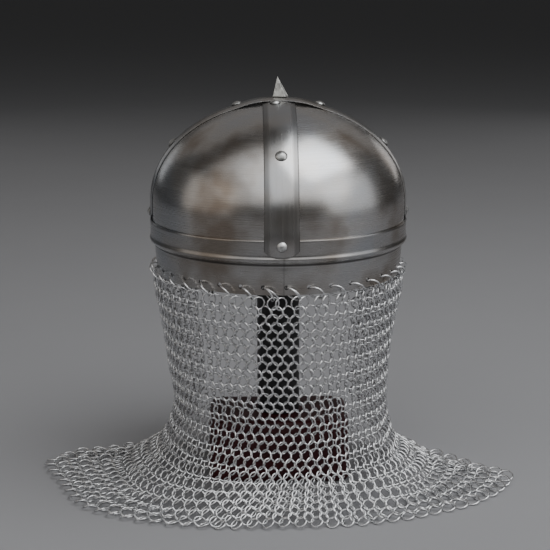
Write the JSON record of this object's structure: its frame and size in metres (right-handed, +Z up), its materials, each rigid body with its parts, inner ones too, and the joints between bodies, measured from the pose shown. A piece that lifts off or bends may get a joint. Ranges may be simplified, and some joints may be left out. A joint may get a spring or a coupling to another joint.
{
  "type": "spangenhelm helmet with mail curtain on a plain stand",
  "caption": "Riveted steel spangenhelm helmet with a brow band, crossing straps, a spike and a mail curtain that spreads on the floor, held on a plain block-and-post stand.",
  "frame": {"origin": "on the floor, under the helmet's vertical axis, at the middle of the stand's foot", "axes": "+Z up; +Y is the way the wearer looks, where the mail is open, and -Y is the back, where it is closed; X runs across, along the long spread of the mail"},
  "size_m": [0.3991, 0.2476, 0.3378],
  "materials": {
    "skull_steel": "polished steel sheet with fine brush lines",
    "band_steel": "polished steel band, brushed along its length",
    "strap_steel": "polished steel strap",
    "rivet_steel": "bright domed steel",
    "spike_steel": "satin steel",
    "mail_steel": "bright round steel wire, butted rings",
    "stand_red": "dark red painted block",
    "stand_black": "black painted wood"
  },
  "bodies": {
    "root": {"skull_plate_front_left": "skull_steel", "skull_plate_front_right": "skull_steel", "skull_plate_back_left": "skull_steel", "skull_plate_back_right": "skull_steel", "brow_band": "band_steel", "strap_front_back": "strap_steel", "strap_side_to_side": "strap_steel", "rivet_front_top": "rivet_steel", "rivet_front_middle": "rivet_steel", "rivet_front_low": "rivet_steel", "rivet_back_top": "rivet_steel", "rivet_back_middle": "rivet_steel", "rivet_back_low": "rivet_steel", "rivet_left_top": "rivet_steel", "rivet_left_middle": "rivet_steel", "rivet_left_low": "rivet_steel", "rivet_right_top": "rivet_steel", "rivet_right_middle": "rivet_steel", "rivet_right_low": "rivet_steel", "spike": "spike_steel", "mail_wall": "mail_steel", "mail_skirt": "mail_steel", "stand_base": "stand_red", "stand_post": "stand_black", "stand_cap": "stand_black"}
  },
  "joints": []
}
